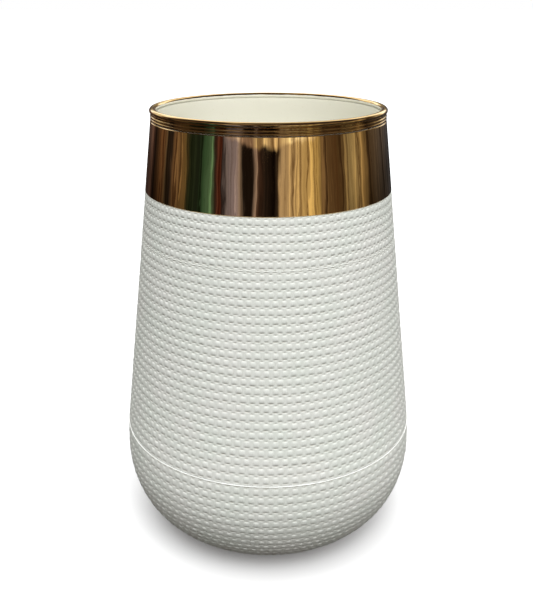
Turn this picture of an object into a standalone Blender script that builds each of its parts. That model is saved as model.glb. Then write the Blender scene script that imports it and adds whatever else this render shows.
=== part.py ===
"""Tall tapered porcelain vase with a woven-basket body, a metallic neck band and a rolled rim.

Metres, +Z up. The origin is at the centre of the base, where the foot ring stands.
Every piece is turned about the Z axis, so each one is a profile with a Screw modifier.
"""
import math

import bpy

# Driving dimensions
HEIGHT = 0.300
RIM_RADIUS = 0.0765
BELLY_RADIUS = 0.1032
BELLY_HEIGHT = 0.0612
FLAT_RADIUS = 0.0603
TAPER = 0.124
SHOULDER_ARC = 0.190
SEAM_HEIGHT = 0.0798
BAND_BOTTOM = 0.2475
BAND_TOP = 0.2920

# Thicknesses and clearances
WALL = 0.0028
GLAZE = 0.0006
BAND_THICKNESS = 0.0007
GAP = 0.0003

# Foot ring
FOOT_HEIGHT = 0.0027
FOOT_OUTER = 0.0570
FOOT_INNER = 0.0500
FOOT_EDGE = 0.0006

# Join line between the two castings
SEAM_HALF = 0.0007
SEAM_PROUD = 0.0005

# Rolled lip and the two fine beads under it
LIP_HALF_WIDTH = 0.0022
LIP_HALF_HEIGHT = 0.0018
BEAD_RADIUS = 0.00065
BEAD_PITCH = 0.0018
LINING_TOP = HEIGHT - 0.0035

# Facets
SIDES = 64
BOWL_STEPS = 9
ROLL_STEPS = 6
BEAD_STEPS = 4
SMOOTH_ANGLE = math.radians(40)
MERGE_DISTANCE = 0.00001

# Worked out from the dimensions above
BOWL_BASE = FOOT_HEIGHT + GAP
TAPER_ANGLE = math.atan(TAPER)
SHOULDER_RISE = SHOULDER_ARC * math.sin(TAPER_ANGLE)
SHOULDER_RADIUS = BELLY_RADIUS - SHOULDER_ARC * (1 - math.cos(TAPER_ANGLE))
SHOULDER_HEIGHT = BELLY_HEIGHT + SHOULDER_RISE
LINING_INSET = WALL + GAP
LIP_BOTTOM = BAND_TOP + GAP
LIP_CENTRE_HEIGHT = HEIGHT - LIP_HALF_HEIGHT
LIP_CENTRE_RADIUS = RIM_RADIUS - LIP_HALF_WIDTH


def clear_scene():
    """Remove whatever the scene already holds."""
    for old in list(bpy.data.objects):
        bpy.data.objects.remove(old, do_unlink=True)


def make_material(name, colour, roughness, metallic=0.0):
    """A plain Principled material."""
    material = bpy.data.materials.new(name)
    material.use_nodes = True
    shader = material.node_tree.nodes["Principled BSDF"]
    shader.inputs["Base Color"].default_value = (*colour, 1.0)
    shader.inputs["Roughness"].default_value = roughness
    shader.inputs["Metallic"].default_value = metallic
    return material


def side_point(height, inset=0.0):
    """A point on the tapering side above the belly, moved inwards by inset."""
    rise = height - BELLY_HEIGHT
    if rise < SHOULDER_RISE:
        radius = BELLY_RADIUS - SHOULDER_ARC + math.sqrt(SHOULDER_ARC ** 2 - rise ** 2)
        return (radius - inset, height)
    radius = SHOULDER_RADIUS - TAPER * (rise - SHOULDER_RISE)
    return (radius - inset / math.cos(TAPER_ANGLE), height)


def bowl_points(inset=0.0):
    """The quarter ellipse from the belly down to the flat base, moved inwards by inset."""
    width = BELLY_RADIUS - FLAT_RADIUS
    depth = BELLY_HEIGHT - BOWL_BASE
    points = []
    for step in range(BOWL_STEPS + 1):
        angle = math.pi / 2 * step / BOWL_STEPS
        across = depth * math.cos(angle)
        down = width * math.sin(angle)
        normal = math.hypot(across, down)
        radius = FLAT_RADIUS + width * math.cos(angle) - inset * across / normal
        height = BELLY_HEIGHT - depth * math.sin(angle) + inset * down / normal
        points.append((radius, height))
    return points


def arc_points(centre, half_width, half_height, start, end, steps):
    """Points on an elliptical arc in the profile plane, from the start to the end angle."""
    points = []
    for step in range(steps + 1):
        angle = math.radians(start + (end - start) * step / steps)
        radius = centre[0] + half_width * math.cos(angle)
        height = centre[1] + half_height * math.sin(angle)
        points.append((radius, height))
    return points


def turned(name, outline, material, collection, closed=True):
    """Turn a profile about the Z axis; it runs down its outer side and up its inner side."""
    mesh = bpy.data.meshes.new(name + "_profile")
    vertices = [(radius, 0.0, height) for radius, height in outline]
    edges = [(index, index + 1) for index in range(len(vertices) - 1)]
    if closed:
        edges.append((len(vertices) - 1, 0))
    mesh.from_pydata(vertices, edges, [])
    piece = bpy.data.objects.new(name, mesh)
    collection.objects.link(piece)

    screw = piece.modifiers.new("turn", "SCREW")
    screw.axis = "Z"
    screw.steps = SIDES
    screw.render_steps = SIDES
    screw.use_merge_vertices = True
    screw.merge_threshold = MERGE_DISTANCE

    bpy.context.view_layer.update()
    evaluated = piece.evaluated_get(bpy.context.evaluated_depsgraph_get())
    solid = bpy.data.meshes.new_from_object(evaluated)
    solid.name = name
    piece.modifiers.clear()
    piece.data = solid
    bpy.data.meshes.remove(mesh)
    solid.shade_smooth()
    solid.set_sharp_from_angle(angle=SMOOTH_ANGLE)
    solid.materials.clear()
    solid.materials.append(material)
    return piece


def upper_wall(collection):
    """Upper casting: from the join line to the lip, stepped in where the band sits."""
    porcelain = make_material("upper_wall", (0.78, 0.79, 0.74), 0.55)
    recess = BAND_THICKNESS + GAP
    step_height = BAND_BOTTOM - GAP
    bottom = SEAM_HEIGHT + SEAM_HALF + GAP
    outer = [
        side_point(BAND_TOP, recess),
        side_point(step_height, recess),
        side_point(step_height),
        side_point(SHOULDER_HEIGHT),
        side_point(bottom),
    ]
    inner = [
        side_point(bottom, WALL),
        side_point(SHOULDER_HEIGHT, WALL),
        side_point(BAND_TOP, WALL),
    ]
    return turned("upper_wall", outer + inner, porcelain, collection)


def lower_bowl(collection):
    """Lower casting: the rounded bowl and the floor, up to the join line."""
    porcelain = make_material("lower_bowl", (0.76, 0.76, 0.70), 0.55)
    top = SEAM_HEIGHT - SEAM_HALF - GAP
    middle = (top + BELLY_HEIGHT) / 2
    inner_rise = [(0.0, BOWL_BASE + WALL)] + bowl_points(WALL)[::-1]
    inner_rise += [side_point(middle, WALL), side_point(top, WALL)]
    outer_fall = [side_point(top), side_point(middle)] + bowl_points()
    outer_fall.append((0.0, BOWL_BASE))
    return turned("lower_bowl", inner_rise + outer_fall, porcelain, collection, closed=False)


def join_bead(collection):
    """The thin raised line where the two castings are joined."""
    slip = make_material("join_bead", (0.80, 0.80, 0.75), 0.5)
    radius = side_point(SEAM_HEIGHT)[0]
    outline = [
        (radius - WALL, SEAM_HEIGHT + SEAM_HALF),
        (radius, SEAM_HEIGHT + SEAM_HALF),
        (radius + SEAM_PROUD, SEAM_HEIGHT + SEAM_HALF / 2),
        (radius + SEAM_PROUD, SEAM_HEIGHT - SEAM_HALF / 2),
        (radius, SEAM_HEIGHT - SEAM_HALF),
        (radius - WALL, SEAM_HEIGHT - SEAM_HALF),
    ]
    return turned("join_bead", outline, slip, collection)


def gold_band(collection):
    """Smooth metallic band round the neck, flush with the body below it."""
    gold = make_material("gold_band", (0.72, 0.52, 0.27), 0.12, 1.0)
    outline = [
        side_point(BAND_TOP),
        side_point(BAND_BOTTOM),
        side_point(BAND_BOTTOM, BAND_THICKNESS),
        side_point(BAND_TOP, BAND_THICKNESS),
    ]
    return turned("gold_band", outline, gold, collection)


def gold_lip(collection):
    """Rolled lip on a short stem, with two fine beads round the stem's outside."""
    gold = make_material("gold_lip", (0.80, 0.62, 0.34), 0.15, 1.0)
    stem_radius = side_point(LIP_BOTTOM)[0] - BEAD_RADIUS
    centre = (LIP_CENTRE_RADIUS, LIP_CENTRE_HEIGHT)
    outer_end = -math.degrees(math.acos((stem_radius - centre[0]) / LIP_HALF_WIDTH))
    stem_inner = side_point(LIP_BOTTOM, WALL)[0]
    inner_start = -math.degrees(math.acos((stem_inner - centre[0]) / LIP_HALF_WIDTH))
    outline = arc_points(centre, LIP_HALF_WIDTH, LIP_HALF_HEIGHT, 90, outer_end, ROLL_STEPS)
    for index in (1, 0):
        bead_height = LIP_BOTTOM + BEAD_PITCH * (index + 0.5)
        bead_centre = (stem_radius, bead_height)
        outline += arc_points(bead_centre, BEAD_RADIUS, BEAD_RADIUS, 90, -90, BEAD_STEPS)
    outline += [(stem_radius, LIP_BOTTOM), (stem_inner, LIP_BOTTOM)]
    roll_back = arc_points(centre, LIP_HALF_WIDTH, LIP_HALF_HEIGHT, inner_start, -270, ROLL_STEPS)
    outline += roll_back[:-1]
    return turned("gold_lip", outline, gold, collection)


def glaze_lining(collection):
    """Glossy cream glaze that lines the whole inside, floor included."""
    glaze = make_material("glaze_lining", (0.80, 0.76, 0.62), 0.1)
    inset = LINING_INSET + GLAZE
    inner = [(0.0, BOWL_BASE + inset)] + bowl_points(inset)[::-1]
    inner += [side_point(SHOULDER_HEIGHT, inset), side_point(LINING_TOP, inset)]
    outer = [side_point(LINING_TOP, LINING_INSET), side_point(SHOULDER_HEIGHT, LINING_INSET)]
    outer += bowl_points(LINING_INSET)
    outer.append((0.0, BOWL_BASE + LINING_INSET))
    return turned("glaze_lining", inner + outer, glaze, collection, closed=False)


def foot_ring(collection):
    """Unglazed ring that the vase stands on."""
    biscuit = make_material("foot_ring", (0.72, 0.68, 0.60), 0.85)
    outline = [
        (FOOT_OUTER + FOOT_EDGE, FOOT_HEIGHT),
        (FOOT_OUTER, FOOT_EDGE),
        (FOOT_OUTER - FOOT_EDGE, 0.0),
        (FOOT_INNER + FOOT_EDGE, 0.0),
        (FOOT_INNER, FOOT_EDGE),
        (FOOT_INNER - FOOT_EDGE, FOOT_HEIGHT),
    ]
    return turned("foot_ring", outline, biscuit, collection)


def main():
    """Make the seven pieces, in a collection named for the vase."""
    clear_scene()
    collection = bpy.data.collections.new("porcelain_vase")
    bpy.context.scene.collection.children.link(collection)
    upper_wall(collection)
    lower_bowl(collection)
    join_bead(collection)
    gold_band(collection)
    gold_lip(collection)
    glaze_lining(collection)
    foot_ring(collection)


main()
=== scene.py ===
"""Looks of the porcelain vase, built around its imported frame.

The porcelain's basket weave, the mirror band, the rolled lip, the glaze, the join line and the
foot are each a finely turned mesh that replaces its plain CAD node. Metres, +Z up.
"""
import math

import bpy
import numpy as np
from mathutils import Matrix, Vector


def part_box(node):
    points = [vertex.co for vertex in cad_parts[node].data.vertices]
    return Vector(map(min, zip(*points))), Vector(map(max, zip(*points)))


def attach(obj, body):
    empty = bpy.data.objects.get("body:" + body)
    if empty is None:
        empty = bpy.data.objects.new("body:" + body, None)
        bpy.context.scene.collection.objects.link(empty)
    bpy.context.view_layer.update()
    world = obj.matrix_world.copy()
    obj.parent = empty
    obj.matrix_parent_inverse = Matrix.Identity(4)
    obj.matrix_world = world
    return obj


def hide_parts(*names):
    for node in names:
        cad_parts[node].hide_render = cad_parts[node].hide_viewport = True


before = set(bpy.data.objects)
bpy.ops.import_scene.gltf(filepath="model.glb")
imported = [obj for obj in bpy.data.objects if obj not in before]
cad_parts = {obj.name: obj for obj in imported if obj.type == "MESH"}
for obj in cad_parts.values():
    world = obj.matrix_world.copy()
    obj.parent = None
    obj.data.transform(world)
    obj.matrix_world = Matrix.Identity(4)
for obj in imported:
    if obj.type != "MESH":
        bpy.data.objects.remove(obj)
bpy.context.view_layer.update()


# ---------------------------------------------------------------- dimensions from the frame
def low(node):
    """Lowest height of a CAD node."""
    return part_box(node)[0][2]


def high(node):
    """Highest height of a CAD node."""
    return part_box(node)[1][2]


def reach(node):
    """Largest radius of a CAD node."""
    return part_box(node)[1][0]


HEIGHT = high("gold_lip")
RIM_RADIUS = reach("gold_lip")
BELLY_RADIUS = reach("lower_bowl")
BAND_TOP = high("gold_band")
BAND_BOTTOM = low("gold_band")
SEAM_HEIGHT = (high("join_bead") + low("join_bead")) / 2
SEAM_HALF = (high("join_bead") - low("join_bead")) / 2
BOWL_BASE = low("lower_bowl")
LIP_BOTTOM = low("gold_lip")
FOOT_TOP = high("foot_ring")
FOOT_OUTER = reach("foot_ring")
LINING_TOP = high("glaze_lining")
LINING_FLOOR = low("glaze_lining")

# The body's outline and thicknesses, with the same values as the CAD
BELLY_HEIGHT = 0.0612
FLAT_RADIUS = 0.0603
TAPER = 0.124
SHOULDER_ARC = 0.190
WALL = 0.0028
GLAZE = 0.0006
GAP = 0.0003
BAND_THICKNESS = 0.0007
FOOT_WIDTH = 0.0070
FOOT_EDGE = 0.0006
LIP_HALF_WIDTH = 0.0022
LIP_HALF_HEIGHT = 0.0018
BEAD_RADIUS = 0.00065
BEAD_PITCH = 0.0018

# Details finer than the CAD
GOLD_INSIDE = 0.0014
FIN_HALF = 0.00016
FIN_PROUD = 0.00019
FIN_ROOT = 0.0003
FIN_DROP = 0.0002
SEAM_RECESS = 0.0005
GAP_DEPTH = 0.0012
BASE_INSET = 0.0006
BAND_EDGE = 0.00025
POOL_DEPTH = 0.0002
POOL_BELOW_TOP = 0.004
POOL_HALF_HEIGHT = 0.003
GLAZE_CENTRE = 0.02

TAPER_ANGLE = math.atan(TAPER)
SHOULDER_RISE = SHOULDER_ARC * math.sin(TAPER_ANGLE)
SHOULDER_RADIUS = BELLY_RADIUS - SHOULDER_ARC * (1 - math.cos(TAPER_ANGLE))

# The weave's layout: a float is the stretch of a strand that shows, and a row is one course of
# floats. SMALLEST_STEP, the least distance between two rings, is in metres.
FLOATS_AROUND = 105
COLUMNS_PER_FLOAT = 10
WEAVE_COLUMNS = FLOATS_AROUND * COLUMNS_PER_FLOAT
ROWS_ABOVE_SEAM = 30.625
FIRST_ROW = 1.516
PIECED_ROW = 7.70
PIECED_SHIFT = -0.583
LOWER_SHIFT = -1.36
ROW_SAMPLES = (0.0, 0.06, 0.11, 0.18, 0.29, 0.46, 0.63, 0.76, 0.82, 0.87, 0.93)
SPAN_MARGIN = 0.02
SMALLEST_STEP = 0.00004

# The weave's relief: its depth and how much of it lies below the body's outline, in metres, and
# the power of the radius that it shrinks by. Then each part's height or depth as a share of the
# relief, its width round the vase in half pitches of the floats, and its place in rows.
RELIEF = 0.0012
RELIEF_BURIED = 0.0010
RELIEF_SHRINK = 0.6
WEB = 0.56
FLOAT_RISE = 0.28
FLOAT_CENTRE = -0.04
FLOAT_HALF_LENGTH = 0.68
FLOAT_HALF_HEIGHT = 0.36
RIB_RISE = 0.10
RIB_HALF_WIDTH = 0.34
RIB_END = 0.36
RIB_END_FADE = 0.10
PIT_HALF_HEIGHT = 0.075
UNDER_DEPTH = 0.25
UNDER_PLACE = 0.37
UNDER_HALF_LENGTH = 0.50
OVER_DEPTH = 0.36
OVER_PLACE = -0.42
OVER_HALF_LENGTH = 0.26

# How unevenly the floats were made, and the level of painted recess shade on the smooth parts of the
# castings
CHANCE_ROWS = 64
TALL_SPREAD = 0.14
LONG_SPREAD = 0.07
SHIFT_SPREAD = 0.018
PLAIN_SHADE_LEVEL = 0.4
BASE_SHADE_LEVEL = 0.6

# Columns round the plainly turned pieces
TURNED_COLUMNS = 384
BAND_COLUMNS = 720
LIP_COLUMNS = 512
FOOT_COLUMNS = 360


# ---------------------------------------------------------------- outline of the body
def side_radius(height, inset=0.0):
    """Radius of the side above the belly, moved inwards by inset."""
    rise = np.asarray(height, float) - BELLY_HEIGHT
    arc = BELLY_RADIUS - SHOULDER_ARC + np.sqrt(SHOULDER_ARC ** 2 - np.minimum(rise, SHOULDER_RISE) ** 2)
    line = SHOULDER_RADIUS - TAPER * (rise - SHOULDER_RISE)
    return np.where(rise < SHOULDER_RISE, arc, line) - inset / math.cos(TAPER_ANGLE)


def outline(top, inset=0.0, steps=400):
    """Radii and heights from top down the side and round the bowl to the flat base."""
    side_heights = np.linspace(top, BELLY_HEIGHT, steps, endpoint=False)
    side_radii = side_radius(side_heights, inset)
    angle = np.linspace(0, math.pi / 2, steps)
    width = BELLY_RADIUS - FLAT_RADIUS
    depth = BELLY_HEIGHT - BOWL_BASE
    normal = np.hypot(depth * np.cos(angle), width * np.sin(angle))
    bowl_radii = FLAT_RADIUS + width * np.cos(angle) - inset * depth * np.cos(angle) / normal
    bowl_heights = BELLY_HEIGHT - depth * np.sin(angle) + inset * width * np.sin(angle) / normal
    return np.concatenate([side_radii, bowl_radii]), np.concatenate([side_heights, bowl_heights])


def turns(columns):
    """Angles of that many columns round the axis."""
    return np.arange(columns) * (2 * math.pi / columns)


def waves(turn, *terms):
    """Sum of waves round the axis, each a (size, number of waves, phase)."""
    return sum(size * np.sin(turn * count + phase) for size, count, phase in terms)


def arc(centre, half_width, half_height, start, end, steps):
    """Points on an elliptical arc in the profile plane, from the start to the end angle."""
    angle = np.radians(np.linspace(start, end, steps + 1))
    radii = centre[0] + half_width * np.cos(angle)
    heights = centre[1] + half_height * np.sin(angle)
    return list(zip(radii, heights))


# ---------------------------------------------------------------- mesh building
def ring_mesh(name, radii, heights, material, closed=True, relief=None, crease=40):
    """A body of revolution from rings of points, which may differ round the axis.

    radii and heights have one row for each ring and one column for each angle. The rings run down
    the outside and up the inside. An open stack starts inside at the floor instead, goes up and
    over, and has its first and last ring closed on the axis.
    """
    radii = np.asarray(radii, float)
    heights = np.asarray(heights, float)
    rings, columns = radii.shape
    turn = turns(columns)
    points = np.stack([radii * np.cos(turn), radii * np.sin(turn), heights], axis=2).reshape(-1, 3)
    index = np.arange(rings * columns).reshape(rings, columns)
    upper = index if closed else index[:-1]
    lower = np.roll(index, -1, axis=0) if closed else index[1:]
    corners = [lower, np.roll(lower, -1, axis=1), np.roll(upper, -1, axis=1), upper]
    quads = np.stack(corners, axis=2).reshape(-1, 4)
    loops = [quads.ravel()]
    sizes = [np.full(len(quads), 4)]
    if not closed:
        poles = np.array([[0, 0, heights[0].mean()], [0, 0, heights[-1].mean()]])
        points = np.concatenate([points, poles])
        first = np.stack([index[0], np.roll(index[0], -1), np.full(columns, rings * columns)], axis=1)
        last = np.stack([np.roll(index[-1], -1), index[-1], np.full(columns, rings * columns + 1)], axis=1)
        loops += [first.ravel(), last.ravel()]
        sizes += [np.full(columns, 3), np.full(columns, 3)]
    loops = np.concatenate(loops)
    sizes = np.concatenate(sizes)

    mesh = bpy.data.meshes.new(name)
    mesh.vertices.add(len(points))
    mesh.vertices.foreach_set("co", points.ravel())
    mesh.loops.add(len(loops))
    mesh.loops.foreach_set("vertex_index", loops)
    mesh.polygons.add(len(sizes))
    mesh.polygons.foreach_set("loop_start", np.concatenate([[0], np.cumsum(sizes)[:-1]]))
    mesh.update(calc_edges=True)
    mesh.shade_smooth()
    if crease:
        mesh.set_sharp_from_angle(angle=math.radians(crease))
    # The relief values become a point attribute that the porcelain turns into painted recess shade.
    if relief is not None:
        layer = mesh.attributes.new("relief", "FLOAT", "POINT")
        values = np.zeros(len(points))
        values[:relief.size] = relief.ravel()
        layer.data.foreach_set("value", values)
    mesh.materials.append(material)
    piece = bpy.data.objects.new(name, mesh)
    bpy.context.scene.collection.objects.link(piece)
    return piece


def turned(name, points, material, closed=True, columns=TURNED_COLUMNS, crease=40, ripple=None):
    """A plainly turned piece from a list of (radius, height) points."""
    profile = np.array(points)
    radii = np.repeat(profile[:, :1], columns, axis=1)
    heights = np.repeat(profile[:, 1:], columns, axis=1)
    if ripple is not None:
        radii = radii + ripple(turns(columns)[None, :], heights)
    return ring_mesh(name, radii, heights, material, closed, crease=crease)


def dress(piece, *nodes):
    """Ride on the one body and stand for the CAD nodes, which are hidden."""
    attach(piece, "root")
    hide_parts(*nodes)


# ---------------------------------------------------------------- the weave
OUT_R, OUT_Z = outline(BAND_BOTTOM - GAP)
OUT_S = np.concatenate([[0.0], np.cumsum(np.hypot(np.diff(OUT_R), np.diff(OUT_Z)))])
SEAM_S = float(np.interp(-SEAM_HEIGHT, -OUT_Z, OUT_S))
CELLS = np.concatenate([[0.0], np.cumsum(np.diff(OUT_S) / ((OUT_R[1:] + OUT_R[:-1]) / 2))])
ROW_AT = FIRST_ROW + CELLS * ROWS_ABOVE_SEAM / float(np.interp(SEAM_S, OUT_S, CELLS))


def weave_height(row, turn, chance):
    """Relief from 0 to 1: pillow floats and upright ribs on a web, with pits where strands dive."""
    across = turn * 2 * FLOATS_AROUND / (2 * math.pi)
    across = across + waves(turn, (0.05, 3, row * 0.21), (0.04, 7, -row * 0.13))
    course = np.floor(row).astype(int)
    down = row - course - 0.5
    odd = course % 2
    centre = 2 * np.round((across - odd) / 2) + odd
    along = np.abs(across - centre)
    cell = (centre.astype(int) // 2) % FLOATS_AROUND
    tall = chance["tall"][course % CHANCE_ROWS, cell]
    long = chance["long"][course % CHANCE_ROWS, cell]
    shift = chance["shift"][course % CHANCE_ROWS, cell]
    level = down - FLOAT_CENTRE - shift
    outside = (along / (FLOAT_HALF_LENGTH * long)) ** 3 + np.abs(level / FLOAT_HALF_HEIGHT) ** 2.6
    pillow = FLOAT_RISE * tall * np.sqrt(np.clip(1 - outside, 0, 1))
    ends = np.clip((np.abs(down) - RIB_END) / RIB_END_FADE, 0, 1)
    bar = np.exp(-((along - 1) / RIB_HALF_WIDTH) ** 4)
    bar_end = np.exp(-(along / RIB_HALF_WIDTH) ** 4) * ends
    rib = RIB_RISE * np.maximum(bar, bar_end)
    below = (down - UNDER_PLACE - shift) / PIT_HALF_HEIGHT
    above = (down - OVER_PLACE - shift) / PIT_HALF_HEIGHT
    under = UNDER_DEPTH * np.exp(-(along / (UNDER_HALF_LENGTH * long)) ** 4 - below ** 2)
    over = OVER_DEPTH * np.exp(-(along / OVER_HALF_LENGTH) ** 2 - above ** 2)
    return WEB + np.maximum(pillow, rib) - tall * under - over


def woven_rings(*spans):
    """Rings of the woven surface, for spans of (start, end, row shift) down the outline."""
    rng = np.random.default_rng(11)
    size = (CHANCE_ROWS, FLOATS_AROUND)
    chance = {
        "tall": 1 + TALL_SPREAD * rng.standard_normal(size).clip(-2, 2),
        "long": 1 + LONG_SPREAD * rng.standard_normal(size).clip(-2, 2),
        "shift": SHIFT_SPREAD * rng.standard_normal(size).clip(-2, 2),
    }
    patterns = []
    places = []
    for start, end, shift in spans:
        first = float(np.interp(start, OUT_S, ROW_AT)) + shift
        last = float(np.interp(end, OUT_S, ROW_AT)) + shift
        whole = np.arange(math.floor(first), math.ceil(last) + 1)
        rows = (whole[:, None] + np.array(ROW_SAMPLES)).ravel()
        rows = rows[(rows > first + SPAN_MARGIN) & (rows < last - SPAN_MARGIN)]
        rows = np.concatenate([[first], rows, [last]])
        patterns.append(rows)
        places.append(np.interp(rows - shift, ROW_AT, OUT_S))
    rows = np.concatenate(patterns)[:, None]
    distance = np.concatenate(places)
    steps = np.maximum(np.diff(distance, prepend=distance[0] - 1), SMALLEST_STEP)
    distance = distance[0] + np.cumsum(steps) - steps[0]
    radius = np.interp(distance, OUT_S, OUT_R)[:, None]
    height = np.interp(distance, OUT_S, OUT_Z)[:, None]
    fall_r = np.gradient(OUT_R, OUT_S)
    fall_z = np.gradient(OUT_Z, OUT_S)
    normal_r = -np.interp(distance, OUT_S, fall_z)[:, None]
    normal_z = np.interp(distance, OUT_S, fall_r)[:, None]
    length = np.hypot(normal_r, normal_z)
    turn = turns(WEAVE_COLUMNS)[None, :]
    relief = weave_height(*np.broadcast_arrays(rows, turn), chance)
    slow = 1 + 0.06 * np.sin(turn * 4 + rows * 0.3) * np.sin(turn * 9 - rows * 0.17)
    lift = (RELIEF * relief * slow - RELIEF_BURIED) * (radius / BELLY_RADIUS) ** RELIEF_SHRINK
    return radius + lift * normal_r / length, height + lift * normal_z / length, relief


def seam_gaps(turn):
    """About 1 under each float, where the two castings do not quite meet, and 0 elsewhere."""
    uneven = 1 + waves(turn, (0.15, 23, 0.0), (0.10, 57, 1.3))
    return np.clip(0.6 - 1.6 * np.cos(turn * FLOATS_AROUND), 0, 1) * uneven


def constant_rings(points):
    """Plain rings to close a woven piece, one for each (radius, height) point."""
    profile = np.array(points, float)
    radii = np.repeat(profile[:, :1], WEAVE_COLUMNS, axis=1)
    heights = np.repeat(profile[:, 1:], WEAVE_COLUMNS, axis=1)
    return radii, heights


def woven_upper_wall(material):
    """The upper casting, woven outside, stepped in behind the band, down to the join line."""
    bottom = SEAM_HEIGHT + SEAM_HALF
    pieced = float(np.interp(PIECED_ROW, ROW_AT, OUT_S))
    end = float(np.interp(-bottom, -OUT_Z, OUT_S))
    radii, heights, relief = woven_rings((0.0, pieced, PIECED_SHIFT), (pieced, end, 0.0))
    recess = BAND_THICKNESS + GAP
    neck = side_radius(BAND_BOTTOM - GAP, recess)
    top_r, top_z = constant_rings([
        (side_radius(BAND_TOP, WALL), BAND_TOP),
        (side_radius(BAND_TOP, recess), BAND_TOP),
        (neck, BAND_BOTTOM - GAP),
    ])
    low_r, low_z = constant_rings([
        (side_radius(bottom, WALL), bottom),
        (side_radius(BELLY_HEIGHT + SHOULDER_RISE, WALL), BELLY_HEIGHT + SHOULDER_RISE),
    ])
    all_radii = np.concatenate([top_r, radii, low_r])
    all_heights = np.concatenate([top_z, heights, low_z])
    shade = np.concatenate([np.full_like(top_r, PLAIN_SHADE_LEVEL), relief, np.full_like(low_r, PLAIN_SHADE_LEVEL)])
    piece = ring_mesh("woven_upper_wall", all_radii, all_heights, material, relief=shade, crease=0)
    dress(piece, "upper_wall")
    return piece


def woven_lower_bowl(material):
    """The lower casting, woven from the join line round to the foot, with a smooth base."""
    top = SEAM_HEIGHT - SEAM_HALF - GAP
    start = float(np.interp(-top, -OUT_Z, OUT_S))
    radii, heights, relief = woven_rings((start, OUT_S[-1], LOWER_SHIFT))
    gaps = seam_gaps(turns(WEAVE_COLUMNS))
    radii[0] -= GAP_DEPTH * gaps
    # Painted shade: a lower relief value on the top ring darkens the porcelain's colour in the gaps under
    # the join line.
    relief[0] -= gaps
    inner_r, inner_z = outline(top, WALL, steps=24)
    inside_r, inside_z = constant_rings(list(zip(inner_r, inner_z))[::-1])
    base_r, base_z = constant_rings([
        (FLAT_RADIUS - BASE_INSET, BOWL_BASE),
        (FLAT_RADIUS * 0.5, BOWL_BASE),
    ])
    all_radii = np.concatenate([inside_r, radii, base_r])
    all_heights = np.concatenate([inside_z, heights, base_z])
    shade = np.concatenate([np.full_like(inside_r, PLAIN_SHADE_LEVEL), relief, np.full_like(base_r, BASE_SHADE_LEVEL)])
    piece = ring_mesh("woven_lower_bowl", all_radii, all_heights, material,
                      closed=False, relief=shade, crease=0)
    dress(piece, "lower_bowl")
    return piece


# ---------------------------------------------------------------- the other pieces
def seam_fin(material):
    """The thin raised line between the castings, with a short gap below it under each float."""
    radius = float(side_radius(SEAM_HEIGHT))
    top = SEAM_HEIGHT + SEAM_HALF
    bottom = SEAM_HEIGHT - SEAM_HALF
    middle = (radius - FIN_ROOT, SEAM_HEIGHT - FIN_DROP)
    web = radius - RELIEF_BURIED + RELIEF * WEB
    recessed = radius - SEAM_RECESS
    points = [(radius - WALL, top), (web, top)]
    points += arc(middle, FIN_PROUD + FIN_ROOT, FIN_HALF, 90, -90, 10)
    points += [(recessed, middle[1] - FIN_HALF), (recessed, bottom), (radius - WALL, bottom)]
    fin_foot = middle[1] - FIN_HALF + 0.00001

    def uneven(turn, heights):
        rise = waves(turn, (0.000024, 23, 0.0), (0.000021, 57, 1.3), (0.000015, 131, 0.4))
        return rise - np.where(heights < fin_foot, GAP_DEPTH * seam_gaps(turn), 0.0)

    dress(turned("seam_fin", points, material, columns=WEAVE_COLUMNS, ripple=uneven), "join_bead")


def mirror_band(material):
    """The smooth band, with the faint hand-dipped ripple that bends its reflections."""
    heights = np.linspace(BAND_TOP, BAND_BOTTOM, 64).clip(BAND_BOTTOM + BAND_EDGE, BAND_TOP - BAND_EDGE)
    points = [(float(side_radius(BAND_TOP)) - BAND_EDGE, BAND_TOP)]
    points += [(float(side_radius(height)), height) for height in heights]
    points += [(float(side_radius(BAND_BOTTOM)) - BAND_EDGE, BAND_BOTTOM)]
    points += [(float(side_radius(BAND_BOTTOM, BAND_THICKNESS)), BAND_BOTTOM)]
    points += [(float(side_radius(BAND_TOP, BAND_THICKNESS)), BAND_TOP)]

    def ripple(turn, heights):
        level = heights / HEIGHT
        broad = np.sin(turn * 11 + 6 * level) * np.sin(level * 41 + turn * 2)
        fine = np.sin(turn * 37 - 9 * level) * np.sin(level * 120 + turn * 5)
        return 0.000016 * broad + 0.000004 * fine

    dress(turned("mirror_band", points, material, columns=BAND_COLUMNS, ripple=ripple), "gold_band")


def rolled_lip(material):
    """The rolled lip and the two fine beads below it."""
    centre = (RIM_RADIUS - LIP_HALF_WIDTH, HEIGHT - LIP_HALF_HEIGHT)
    stem = float(side_radius(LIP_BOTTOM)) - BEAD_RADIUS
    stem_inner = float(side_radius(LIP_BOTTOM, WALL))
    outer_end = -math.degrees(math.acos((stem - centre[0]) / LIP_HALF_WIDTH))
    inner_start = -math.degrees(math.acos((stem_inner - centre[0]) / LIP_HALF_WIDTH))
    points = arc(centre, LIP_HALF_WIDTH, LIP_HALF_HEIGHT, 90, outer_end, 20)
    for index in (1, 0):
        bead = (stem, LIP_BOTTOM + BEAD_PITCH * (index + 0.5))
        points += arc(bead, BEAD_RADIUS, BEAD_RADIUS, 90, -90, 12)
    points += [(stem, LIP_BOTTOM), (stem_inner, LIP_BOTTOM)]
    points += arc(centre, LIP_HALF_WIDTH, LIP_HALF_HEIGHT, inner_start, -270, 20)[:-1]

    def ripple(turn, heights):
        return waves(turn, (0.00003, 5, 0.7), (0.00002, 13, 0.0))

    dress(turned("rolled_lip", points, material, columns=LIP_COLUMNS, ripple=ripple), "gold_lip")


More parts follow.
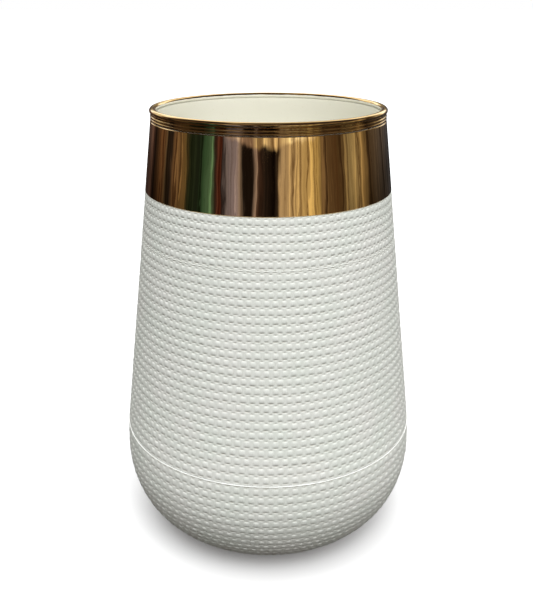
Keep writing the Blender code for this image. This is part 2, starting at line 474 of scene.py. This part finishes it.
def inner_glaze(material):
    """The cream glaze inside, thicker in a soft roll where it pooled under the lip."""
    radii, heights = outline(LINING_TOP, WALL + GAP + GLAZE, steps=60)
    outer_radii, outer_heights = outline(LINING_TOP, WALL + GAP, steps=30)
    pool = POOL_DEPTH * np.exp(-((LINING_TOP - heights - POOL_BELOW_TOP) / POOL_HALF_HEIGHT) ** 2)
    inner = list(zip(radii - pool, heights))[::-1]
    outer = list(zip(outer_radii, outer_heights))
    floor = [(GLAZE_CENTRE, inner[0][1])]
    under = [(GLAZE_CENTRE, LINING_FLOOR)]
    points = floor + inner + outer + under
    dress(turned("inner_glaze", points, material, closed=False, crease=60), "glaze_lining")


def unglazed_foot(material):
    """The bare ring that the vase stands on, with softened edges."""
    outer = FOOT_OUTER - FOOT_EDGE
    inner = outer - FOOT_WIDTH
    points = [(FOOT_OUTER, FOOT_TOP)]
    points += arc((outer - FOOT_EDGE, FOOT_EDGE), FOOT_EDGE, FOOT_EDGE, 0, -90, 6)
    points += arc((inner + FOOT_EDGE, FOOT_EDGE), FOOT_EDGE, FOOT_EDGE, -90, -180, 6)
    points += [(inner - FOOT_EDGE, FOOT_TOP)]

    def wear_and_painted_shade(turn, heights):
        return waves(turn, (0.00004, 17, 0.0), (0.00003, 41, 1.1))

    dress(turned("unglazed_foot", points, material, columns=FOOT_COLUMNS, ripple=wear_and_painted_shade), "foot_ring")


# ---------------------------------------------------------------- materials
def new_material(name, roughness, metallic=0.0):
    """A material, its node tree and its Principled shader."""
    material = bpy.data.materials.new(name)
    material.use_nodes = True
    tree = material.node_tree
    shader = tree.nodes["Principled BSDF"]
    shader.inputs["Roughness"].default_value = roughness
    shader.inputs["Metallic"].default_value = metallic
    return material, tree, shader


def noise_on(tree, source, scale, detail, roughness=0.5):
    """Noise on a vector."""
    texture = tree.nodes.new("ShaderNodeTexNoise")
    texture.inputs["Scale"].default_value = scale
    texture.inputs["Detail"].default_value = detail
    texture.inputs["Roughness"].default_value = roughness
    tree.links.new(source, texture.inputs["Vector"])
    return texture.outputs["Fac"]


def noise(tree, scale, detail=3.0, roughness=0.5, stretch=None):
    """Noise in the object's own coordinates, stretched along an axis if asked."""
    source = tree.nodes.new("ShaderNodeTexCoord").outputs["Object"]
    if stretch:
        mapping = tree.nodes.new("ShaderNodeMapping")
        mapping.inputs["Scale"].default_value = stretch
        tree.links.new(source, mapping.inputs["Vector"])
        source = mapping.outputs["Vector"]
    return noise_on(tree, source, scale, detail, roughness)


def ramp(tree, source, stops):
    """A colour ramp of (position, colour) stops on a 0 to 1 value."""
    node = tree.nodes.new("ShaderNodeValToRGB")
    elements = node.color_ramp.elements
    while len(elements) < len(stops):
        elements.new(0.5)
    for element, (position, colour) in zip(elements, stops):
        element.position = position
        element.color = (*colour, 1.0)
    tree.links.new(source, node.inputs["Fac"])
    return node.outputs["Color"]


def blend(tree, kind, amount, first, second):
    """Mix two colours; amount is a number or a socket."""
    node = tree.nodes.new("ShaderNodeMix")
    node.data_type = "RGBA"
    node.blend_type = kind
    if isinstance(amount, float):
        node.inputs["Factor"].default_value = amount
    else:
        tree.links.new(amount, node.inputs["Factor"])
    tree.links.new(first, node.inputs[6])
    tree.links.new(second, node.inputs[7])
    return node.outputs[2]


def calc(tree, operation, *values):
    """One step of arithmetic; each value is a number or a socket."""
    node = tree.nodes.new("ShaderNodeMath")
    node.operation = operation
    for socket, value in zip(node.inputs, values):
        if isinstance(value, (int, float)):
            socket.default_value = value
        else:
            tree.links.new(value, socket)
    return node.outputs["Value"]


def spread(tree, source, low_value, high_value, from_low=0.3, from_high=0.7):
    """Map a value from one range onto another, held at its ends."""
    node = tree.nodes.new("ShaderNodeMapRange")
    node.inputs["From Min"].default_value = from_low
    node.inputs["From Max"].default_value = from_high
    node.inputs["To Min"].default_value = low_value
    node.inputs["To Max"].default_value = high_value
    tree.links.new(source, node.inputs["Value"])
    return node.outputs["Result"]


def bump(tree, shader, source, distance, strength):
    """Fine bump on the shader's normal."""
    node = tree.nodes.new("ShaderNodeBump")
    node.inputs["Distance"].default_value = distance
    node.inputs["Strength"].default_value = strength
    tree.links.new(source, node.inputs["Height"])
    tree.links.new(node.outputs["Normal"], shader.inputs["Normal"])


def porcelain():
    """Satin off-white porcelain with painted shade: darker and warmer in the weave's recesses, lighter and
    a touch greener on its raised parts.
    """
    material, tree, shader = new_material("woven_porcelain", 0.5)
    height = tree.nodes.new("ShaderNodeAttribute")
    height.attribute_name = "relief"
    # Painted shade: the colour follows the relief, darker and warmer in the pits and low web, lighter on
    # the floats.
    wear_and_painted_shade = ramp(tree, height.outputs["Fac"], [
        (0.20, (0.62, 0.61, 0.54)),
        (0.40, (0.75, 0.755, 0.705)),
        (0.54, (0.82, 0.84, 0.80)),
        (0.90, (0.855, 0.88, 0.85)),
    ])
    clouds = ramp(tree, noise(tree, 38.0, 4.0), [
        (0.3, (0.965, 0.985, 0.955)),
        (0.7, (1.0, 0.985, 0.975)),
    ])
    specks = ramp(tree, noise(tree, 900.0, 2.0, 0.7), [
        (0.34, (0.90, 0.89, 0.86)),
        (0.44, (1.0, 1.0, 1.0)),
    ])
    colour = blend(tree, "MULTIPLY", 1.0, wear_and_painted_shade, clouds)
    colour = blend(tree, "MULTIPLY", 0.6, colour, specks)
    tree.links.new(colour, shader.inputs["Base Color"])
    tree.links.new(spread(tree, noise(tree, 120.0, 3.0), 0.40, 0.58), shader.inputs["Roughness"])
    bump(tree, shader, noise(tree, 1400.0, 3.0, 0.6), 0.00004, 0.35)
    return material


def fettled_porcelain():
    """The join line: the same body, rubbed smoother and whiter."""
    material, tree, shader = new_material("fettled_porcelain", 0.42)
    colour = ramp(tree, noise(tree, 260.0, 4.0), [
        (0.3, (0.76, 0.77, 0.73)),
        (0.6, (0.86, 0.875, 0.85)),
    ])
    tree.links.new(colour, shader.inputs["Base Color"])
    tree.links.new(spread(tree, noise(tree, 400.0), 0.34, 0.5), shader.inputs["Roughness"])
    bump(tree, shader, noise(tree, 1200.0, 2.0), 0.00004, 0.3)
    return material


def gold_tone(tree, dark, light, stretch=None):
    """Fired gold with faint smears of a browner tone."""
    smears = noise(tree, 30.0, 4.0, 0.55, stretch)
    return ramp(tree, smears, [(0.3, dark), (0.7, light)])


def cream_tone(tree):
    """Cream glaze with slow clouds of a slightly deeper tone."""
    return ramp(tree, noise(tree, 14.0, 3.0), [
        (0.3, (0.93, 0.915, 0.79)),
        (0.7, (0.96, 0.945, 0.84)),
    ])


def band_lustre():
    """The band's gold, mirror-bright and smeared a little up and down."""
    material, tree, shader = new_material("gold_lustre", 0.02, 1.0)
    tone = gold_tone(tree, (0.80, 0.55, 0.28), (0.88, 0.64, 0.35), stretch=(1.0, 1.0, 0.25))
    tree.links.new(tone, shader.inputs["Base Color"])
    tree.links.new(spread(tree, noise(tree, 90.0, 5.0, 0.6), 0.01, 0.035), shader.inputs["Roughness"])
    bump(tree, shader, noise(tree, 260.0, 2.0, 0.4, stretch=(1.0, 1.0, 0.3)), 0.00002, 0.12)
    return material


def axis_distance(tree, split):
    """Distance from the vase's axis, from the object's own X and Y."""
    flat = tree.nodes.new("ShaderNodeCombineXYZ")
    tree.links.new(split.outputs["X"], flat.inputs["X"])
    tree.links.new(split.outputs["Y"], flat.inputs["Y"])
    length = tree.nodes.new("ShaderNodeVectorMath")
    length.operation = "LENGTH"
    tree.links.new(flat.outputs["Vector"], length.inputs[0])
    return length.outputs["Value"]


def lip_lustre():
    """The lip's gold, brushed on over the roll, with bare cream glaze low on its inner side."""
    material, tree, shader = new_material("gold_lip_lustre", 0.05, 1.0)
    place = tree.nodes.new("ShaderNodeTexCoord")
    split = tree.nodes.new("ShaderNodeSeparateXYZ")
    tree.links.new(place.outputs["Object"], split.inputs["Vector"])
    brushed = spread(tree, noise(tree, 160.0, 3.0), -0.00012, 0.00012)
    height = calc(tree, "ADD", split.outputs["Z"], brushed)
    edge = HEIGHT - GOLD_INSIDE
    low_side = spread(tree, height, 1.0, 0.0, edge - 0.00006, edge + 0.00006)
    middle = RIM_RADIUS - LIP_HALF_WIDTH
    inner_side = spread(tree, axis_distance(tree, split), 1.0, 0.0, middle - 0.0002, middle)
    bare = calc(tree, "MULTIPLY", low_side, inner_side)
    gold = gold_tone(tree, (0.80, 0.56, 0.29), (0.90, 0.69, 0.40))
    tree.links.new(blend(tree, "MIX", bare, gold, cream_tone(tree)), shader.inputs["Base Color"])
    tree.links.new(calc(tree, "SUBTRACT", 1.0, bare), shader.inputs["Metallic"])
    tree.links.new(spread(tree, noise(tree, 90.0, 5.0, 0.6), 0.04, 0.09), shader.inputs["Roughness"])
    bump(tree, shader, noise(tree, 260.0, 2.0, 0.4), 0.00002, 0.12)
    return material


def cream_glaze():
    """Glossy cream glaze with a few fine darker specks."""
    material, tree, shader = new_material("cream_glaze", 0.12)
    dark_specks = ramp(tree, noise(tree, 700.0, 1.0), [
        (0.24, (0.90, 0.87, 0.78)),
        (0.30, (1.0, 1.0, 1.0)),
    ])
    tree.links.new(blend(tree, "MULTIPLY", 0.5, cream_tone(tree), dark_specks), shader.inputs["Base Color"])
    tree.links.new(spread(tree, noise(tree, 60.0), 0.08, 0.18), shader.inputs["Roughness"])
    shader.inputs["Coat Weight"].default_value = 0.4
    shader.inputs["Coat Roughness"].default_value = 0.04
    bump(tree, shader, noise(tree, 120.0, 2.0), 0.00006, 0.15)
    return material


def biscuit():
    """Bare fired porcelain on the foot, dry and faintly stained."""
    material, tree, shader = new_material("biscuit_foot", 0.85)
    colour = ramp(tree, noise(tree, 220.0, 5.0, 0.65), [
        (0.3, (0.60, 0.55, 0.46)),
        (0.6, (0.76, 0.72, 0.64)),
    ])
    tree.links.new(colour, shader.inputs["Base Color"])
    tree.links.new(spread(tree, noise(tree, 500.0), 0.75, 0.95), shader.inputs["Roughness"])
    bump(tree, shader, noise(tree, 1500.0, 4.0, 0.7), 0.00008, 0.6)
    return material


# ---------------------------------------------------------------- light, floor and camera
VIEW_LENS = 46.8
VIEW_PLACE = (-0.0012, -0.5073, 0.3635)
VIEW_PITCH = 21.05

# What stands round the vase and shows in its mirror band: degrees from the front, and a colour.
DARK = (0.012, 0.009, 0.009)
ROOM = (
    (-180, (0.16, 0.13, 0.12)),
    (-142, (0.15, 0.09, 0.08)),
    (-132, DARK),
    (-116, (0.16, 0.09, 0.05)),
    (-109, (0.05, 0.04, 0.03)),
    (-101, DARK),
    (-96, (0.17, 0.11, 0.07)),
    (-83, (0.14, 0.10, 0.05)),
    (-77, (0.012, 0.02, 0.012)),
    (-66, (0.012, 0.02, 0.015)),
    (-61, (0.03, 0.08, 0.05)),
    (-53, (0.09, 0.20, 0.15)),
    (-50, (0.03, 0.02, 0.02)),
    (-44, (0.12, 0.04, 0.03)),
    (-41, DARK),
    (-36, (0.24, 0.24, 0.38)),
    (-29, (0.24, 0.23, 0.36)),
    (-25, (0.30, 0.27, 0.30)),
    (-22, DARK),
    (-15, DARK),
    (-12, (0.30, 0.26, 0.30)),
    (-8, (0.14, 0.10, 0.10)),
    (-5, DARK),
    (8, DARK),
    (11, (0.42, 0.35, 0.27)),
    (46, (0.55, 0.44, 0.20)),
    (49, (0.14, 0.10, 0.06)),
    (66, (0.07, 0.04, 0.02)),
    (80, (0.30, 0.26, 0.16)),
    (97, (0.28, 0.21, 0.11)),
    (104, (0.07, 0.05, 0.03)),
    (150, (0.12, 0.12, 0.14)),
)


# The brighter things above them, in the same form.
LAMPS = (
    (-180, (0.10, 0.08, 0.07)),
    (-60, (0.05, 0.04, 0.03)),
    (-44, (0.10, 0.08, 0.08)),
    (-36, (0.34, 0.30, 0.40)),
    (-27, (0.70, 0.66, 0.72)),
    (-24, (0.30, 0.24, 0.24)),
    (-14, (0.26, 0.20, 0.18)),
    (-10, (0.62, 0.56, 0.40)),
    (8, (0.55, 0.46, 0.32)),
    (16, (0.80, 0.72, 0.52)),
    (30, (1.10, 1.05, 0.85)),
    (36, (0.66, 0.56, 0.36)),
    (48, (0.80, 0.70, 0.50)),
    (52, (0.40, 0.30, 0.20)),
    (66, (0.46, 0.38, 0.26)),
    (96, (0.50, 0.40, 0.24)),
    (104, (0.12, 0.08, 0.06)),
    (180, (0.10, 0.08, 0.07)),
)


def by_angle(tree, turn, table):
    """Colours from a table of (degrees from the front, colour), for a turn of 0 to 1."""
    return ramp(tree, turn, [((angle + 180) / 360, colour) for angle, colour in table])


def backdrop(tree, colour, strength):
    """A background shader; colour and strength are each a value or a socket."""
    shader = tree.nodes.new("ShaderNodeBackground")
    for name, value in (("Color", colour), ("Strength", strength)):
        if isinstance(value, bpy.types.NodeSocket):
            tree.links.new(value, shader.inputs[name])
        else:
            shader.inputs[name].default_value = value
    return shader.outputs["Background"]


def soft_sky(tree, up):
    """The soft light on the vase: pale from overhead, dim and warm from below."""
    sky = ramp(tree, spread(tree, up, 0.0, 1.0, -1.0, 1.0), [
        (0.25, (0.02, 0.011, 0.005)),
        (0.44, (0.055, 0.036, 0.020)),
        (0.54, (0.29, 0.25, 0.20)),
        (0.74, (1.03, 1.05, 1.07)),
        (1.0, (1.25, 1.25, 1.25)),
    ])
    return backdrop(tree, sky, 0.80)


def streaks(tree, turn):
    """Upright light and dark streaks, to multiply what stands round the vase."""
    texture = tree.nodes.new("ShaderNodeTexNoise")
    texture.noise_dimensions = "1D"
    texture.inputs["Scale"].default_value = 70.0
    texture.inputs["Detail"].default_value = 6.0
    texture.inputs["Roughness"].default_value = 0.7
    tree.links.new(turn, texture.inputs["W"])
    return ramp(tree, texture.outputs["Fac"], [
        (0.38, (0.40, 0.34, 0.30)),
        (0.46, (0.92, 0.90, 0.88)),
        (0.54, (1.0, 1.0, 1.0)),
        (0.62, (1.70, 1.70, 1.65)),
    ])


def dim_shop(tree, direction, split):
    """What the gold mirrors: things round the vase, a dim ceiling and a bright wall behind."""
    up = split.outputs["Z"]
    forward = calc(tree, "MULTIPLY", split.outputs["Y"], -1.0)
    azimuth = calc(tree, "ARCTAN2", split.outputs["X"], forward)
    sway = spread(tree, noise_on(tree, direction, 9.0, 4.0), -0.02, 0.02)
    turn = calc(tree, "MULTIPLY_ADD", azimuth, 1 / (2 * math.pi), 0.5)
    turn = calc(tree, "ADD", turn, calc(tree, "MULTIPLY", sway, 0.3))
    edge = calc(tree, "ADD", up, calc(tree, "MULTIPLY", sway, 0.2))
    above = spread(tree, edge, 0.0, 1.0, 0.066, 0.072)
    shown = blend(tree, "MIX", above, by_angle(tree, turn, ROOM), by_angle(tree, turn, LAMPS))
    shown = blend(tree, "MULTIPLY", 1.0, shown, streaks(tree, turn))

    patches = noise_on(tree, direction, 2.2, 2.0)
    overhead = ramp(tree, patches, [
        (0.50, (0.030, 0.018, 0.010)),
        (0.60, (0.12, 0.08, 0.05)),
        (0.70, (0.46, 0.38, 0.26)),
    ])
    shown = blend(tree, "MIX", spread(tree, up, 0.0, 1.0, 0.10, 0.22), shown, overhead)
    bright_wall = ramp(tree, patches, [
        (0.38, (0.30, 0.24, 0.13)),
        (0.50, (0.95, 0.88, 0.66)),
        (0.58, (1.6, 1.55, 1.40)),
    ])
    behind = spread(tree, split.outputs["Y"], 0.0, 1.0, 0.45, 0.65)
    raised = spread(tree, up, 0.0, 1.0, 0.10, 0.20)
    shown = blend(tree, "MIX", calc(tree, "MULTIPLY", behind, raised), shown, bright_wall)
    return backdrop(tree, shown, spread(tree, up, 0.30, 1.0, -0.14, -0.05))


def switch(tree, ray, otherwise, shown):
    """One world shader for rays of a kind, and another for the rest."""
    rays = tree.nodes.new("ShaderNodeLightPath")
    mix = tree.nodes.new("ShaderNodeMixShader")
    tree.links.new(rays.outputs[ray], mix.inputs["Fac"])
    tree.links.new(otherwise, mix.inputs[1])
    tree.links.new(shown, mix.inputs[2])
    return mix.outputs["Shader"]


def surroundings():
    """White for the camera, a soft sky for light, and a dim shop for mirror reflections."""
    world = bpy.data.worlds.new("surroundings")
    bpy.context.scene.world = world
    world.use_nodes = True
    tree = world.node_tree
    tree.nodes.clear()
    direction = tree.nodes.new("ShaderNodeTexCoord").outputs["Generated"]
    split = tree.nodes.new("ShaderNodeSeparateXYZ")
    tree.links.new(direction, split.inputs["Vector"])
    sky = soft_sky(tree, split.outputs["Z"])
    shop = dim_shop(tree, direction, split)
    white = backdrop(tree, (1, 1, 1, 1), 1.0)
    lighting = switch(tree, "Is Glossy Ray", sky, shop)
    output = tree.nodes.new("ShaderNodeOutputWorld")
    tree.links.new(switch(tree, "Is Camera Ray", lighting, white), output.inputs["Surface"])


def hang(name, data, location, rotation):
    """Add a lamp that mirrors do not show, turned by angles in degrees."""
    lamp = bpy.data.objects.new(name, data)
    lamp.location = location
    lamp.rotation_euler = [math.radians(angle) for angle in rotation]
    lamp.visible_glossy = False
    bpy.context.scene.collection.objects.link(lamp)


def sun(name, strength, softness, elevation, azimuth):
    """A soft sun from an elevation, and an azimuth measured from the front towards +X."""
    data = bpy.data.lights.new(name, "SUN")
    data.energy = strength
    data.angle = math.radians(softness)
    hang(name, data, (0.0, 0.0, 0.0), (90 - elevation, 0, azimuth))


def mouth_fill():
    """A narrow soft spot that lifts the far wall of the inside."""
    data = bpy.data.lights.new("mouth_fill", "SPOT")
    data.energy = 3.4
    data.spot_size = math.radians(15)
    data.spot_blend = 1.0
    data.shadow_soft_size = 0.08
    hang("mouth_fill", data, (0.0, -0.52, 0.80), (46, 0, 0))


def lights():
    """Soft light from overhead, a softer key from the front, and a fill for the mouth."""
    sun("overhead", 1.5, 50, 78, 0)
    sun("front_key", 1.36, 44, 47, 16)
    mouth_fill()


def pale_floor():
    """A plain pale floor that the gold does not mirror."""
    half = 30.0
    mesh = bpy.data.meshes.new("pale_floor")
    corners = [(-half, -half, 0), (half, -half, 0), (half, half, 0), (-half, half, 0)]
    mesh.from_pydata(corners, [], [(0, 1, 2, 3)])
    material, tree, shader = new_material("pale_floor", 0.9)
    shader.inputs["Base Color"].default_value = (0.92, 0.92, 0.92, 1)
    shader.inputs["Specular IOR Level"].default_value = 0.0
    shader.inputs["Emission Color"].default_value = (1, 1, 1, 1)
    shader.inputs["Emission Strength"].default_value = 0.02
    mesh.materials.append(material)
    floor = bpy.data.objects.new("pale_floor", mesh)
    bpy.context.scene.collection.objects.link(floor)
    floor.visible_glossy = False
    floor.visible_diffuse = False


def camera():
    """Eye level a little above the rim, looking down at the front of the vase."""
    data = bpy.data.cameras.new("camera")
    data.lens = VIEW_LENS
    data.sensor_width = 36.0
    view = bpy.data.objects.new("camera", data)
    view.location = VIEW_PLACE
    view.rotation_euler = (math.radians(90 - VIEW_PITCH), 0.0, 0.0)
    bpy.context.scene.collection.objects.link(view)
    bpy.context.scene.camera = view


def main():
    """Build every piece, the floor, the lights and the camera."""
    bpy.context.scene.view_settings.view_transform = "Standard"
    woven = porcelain()
    woven_upper_wall(woven)
    woven_lower_bowl(woven)
    seam_fin(fettled_porcelain())
    mirror_band(band_lustre())
    rolled_lip(lip_lustre())
    inner_glaze(cream_glaze())
    unglazed_foot(biscuit())
    pale_floor()
    surroundings()
    lights()
    camera()


main()
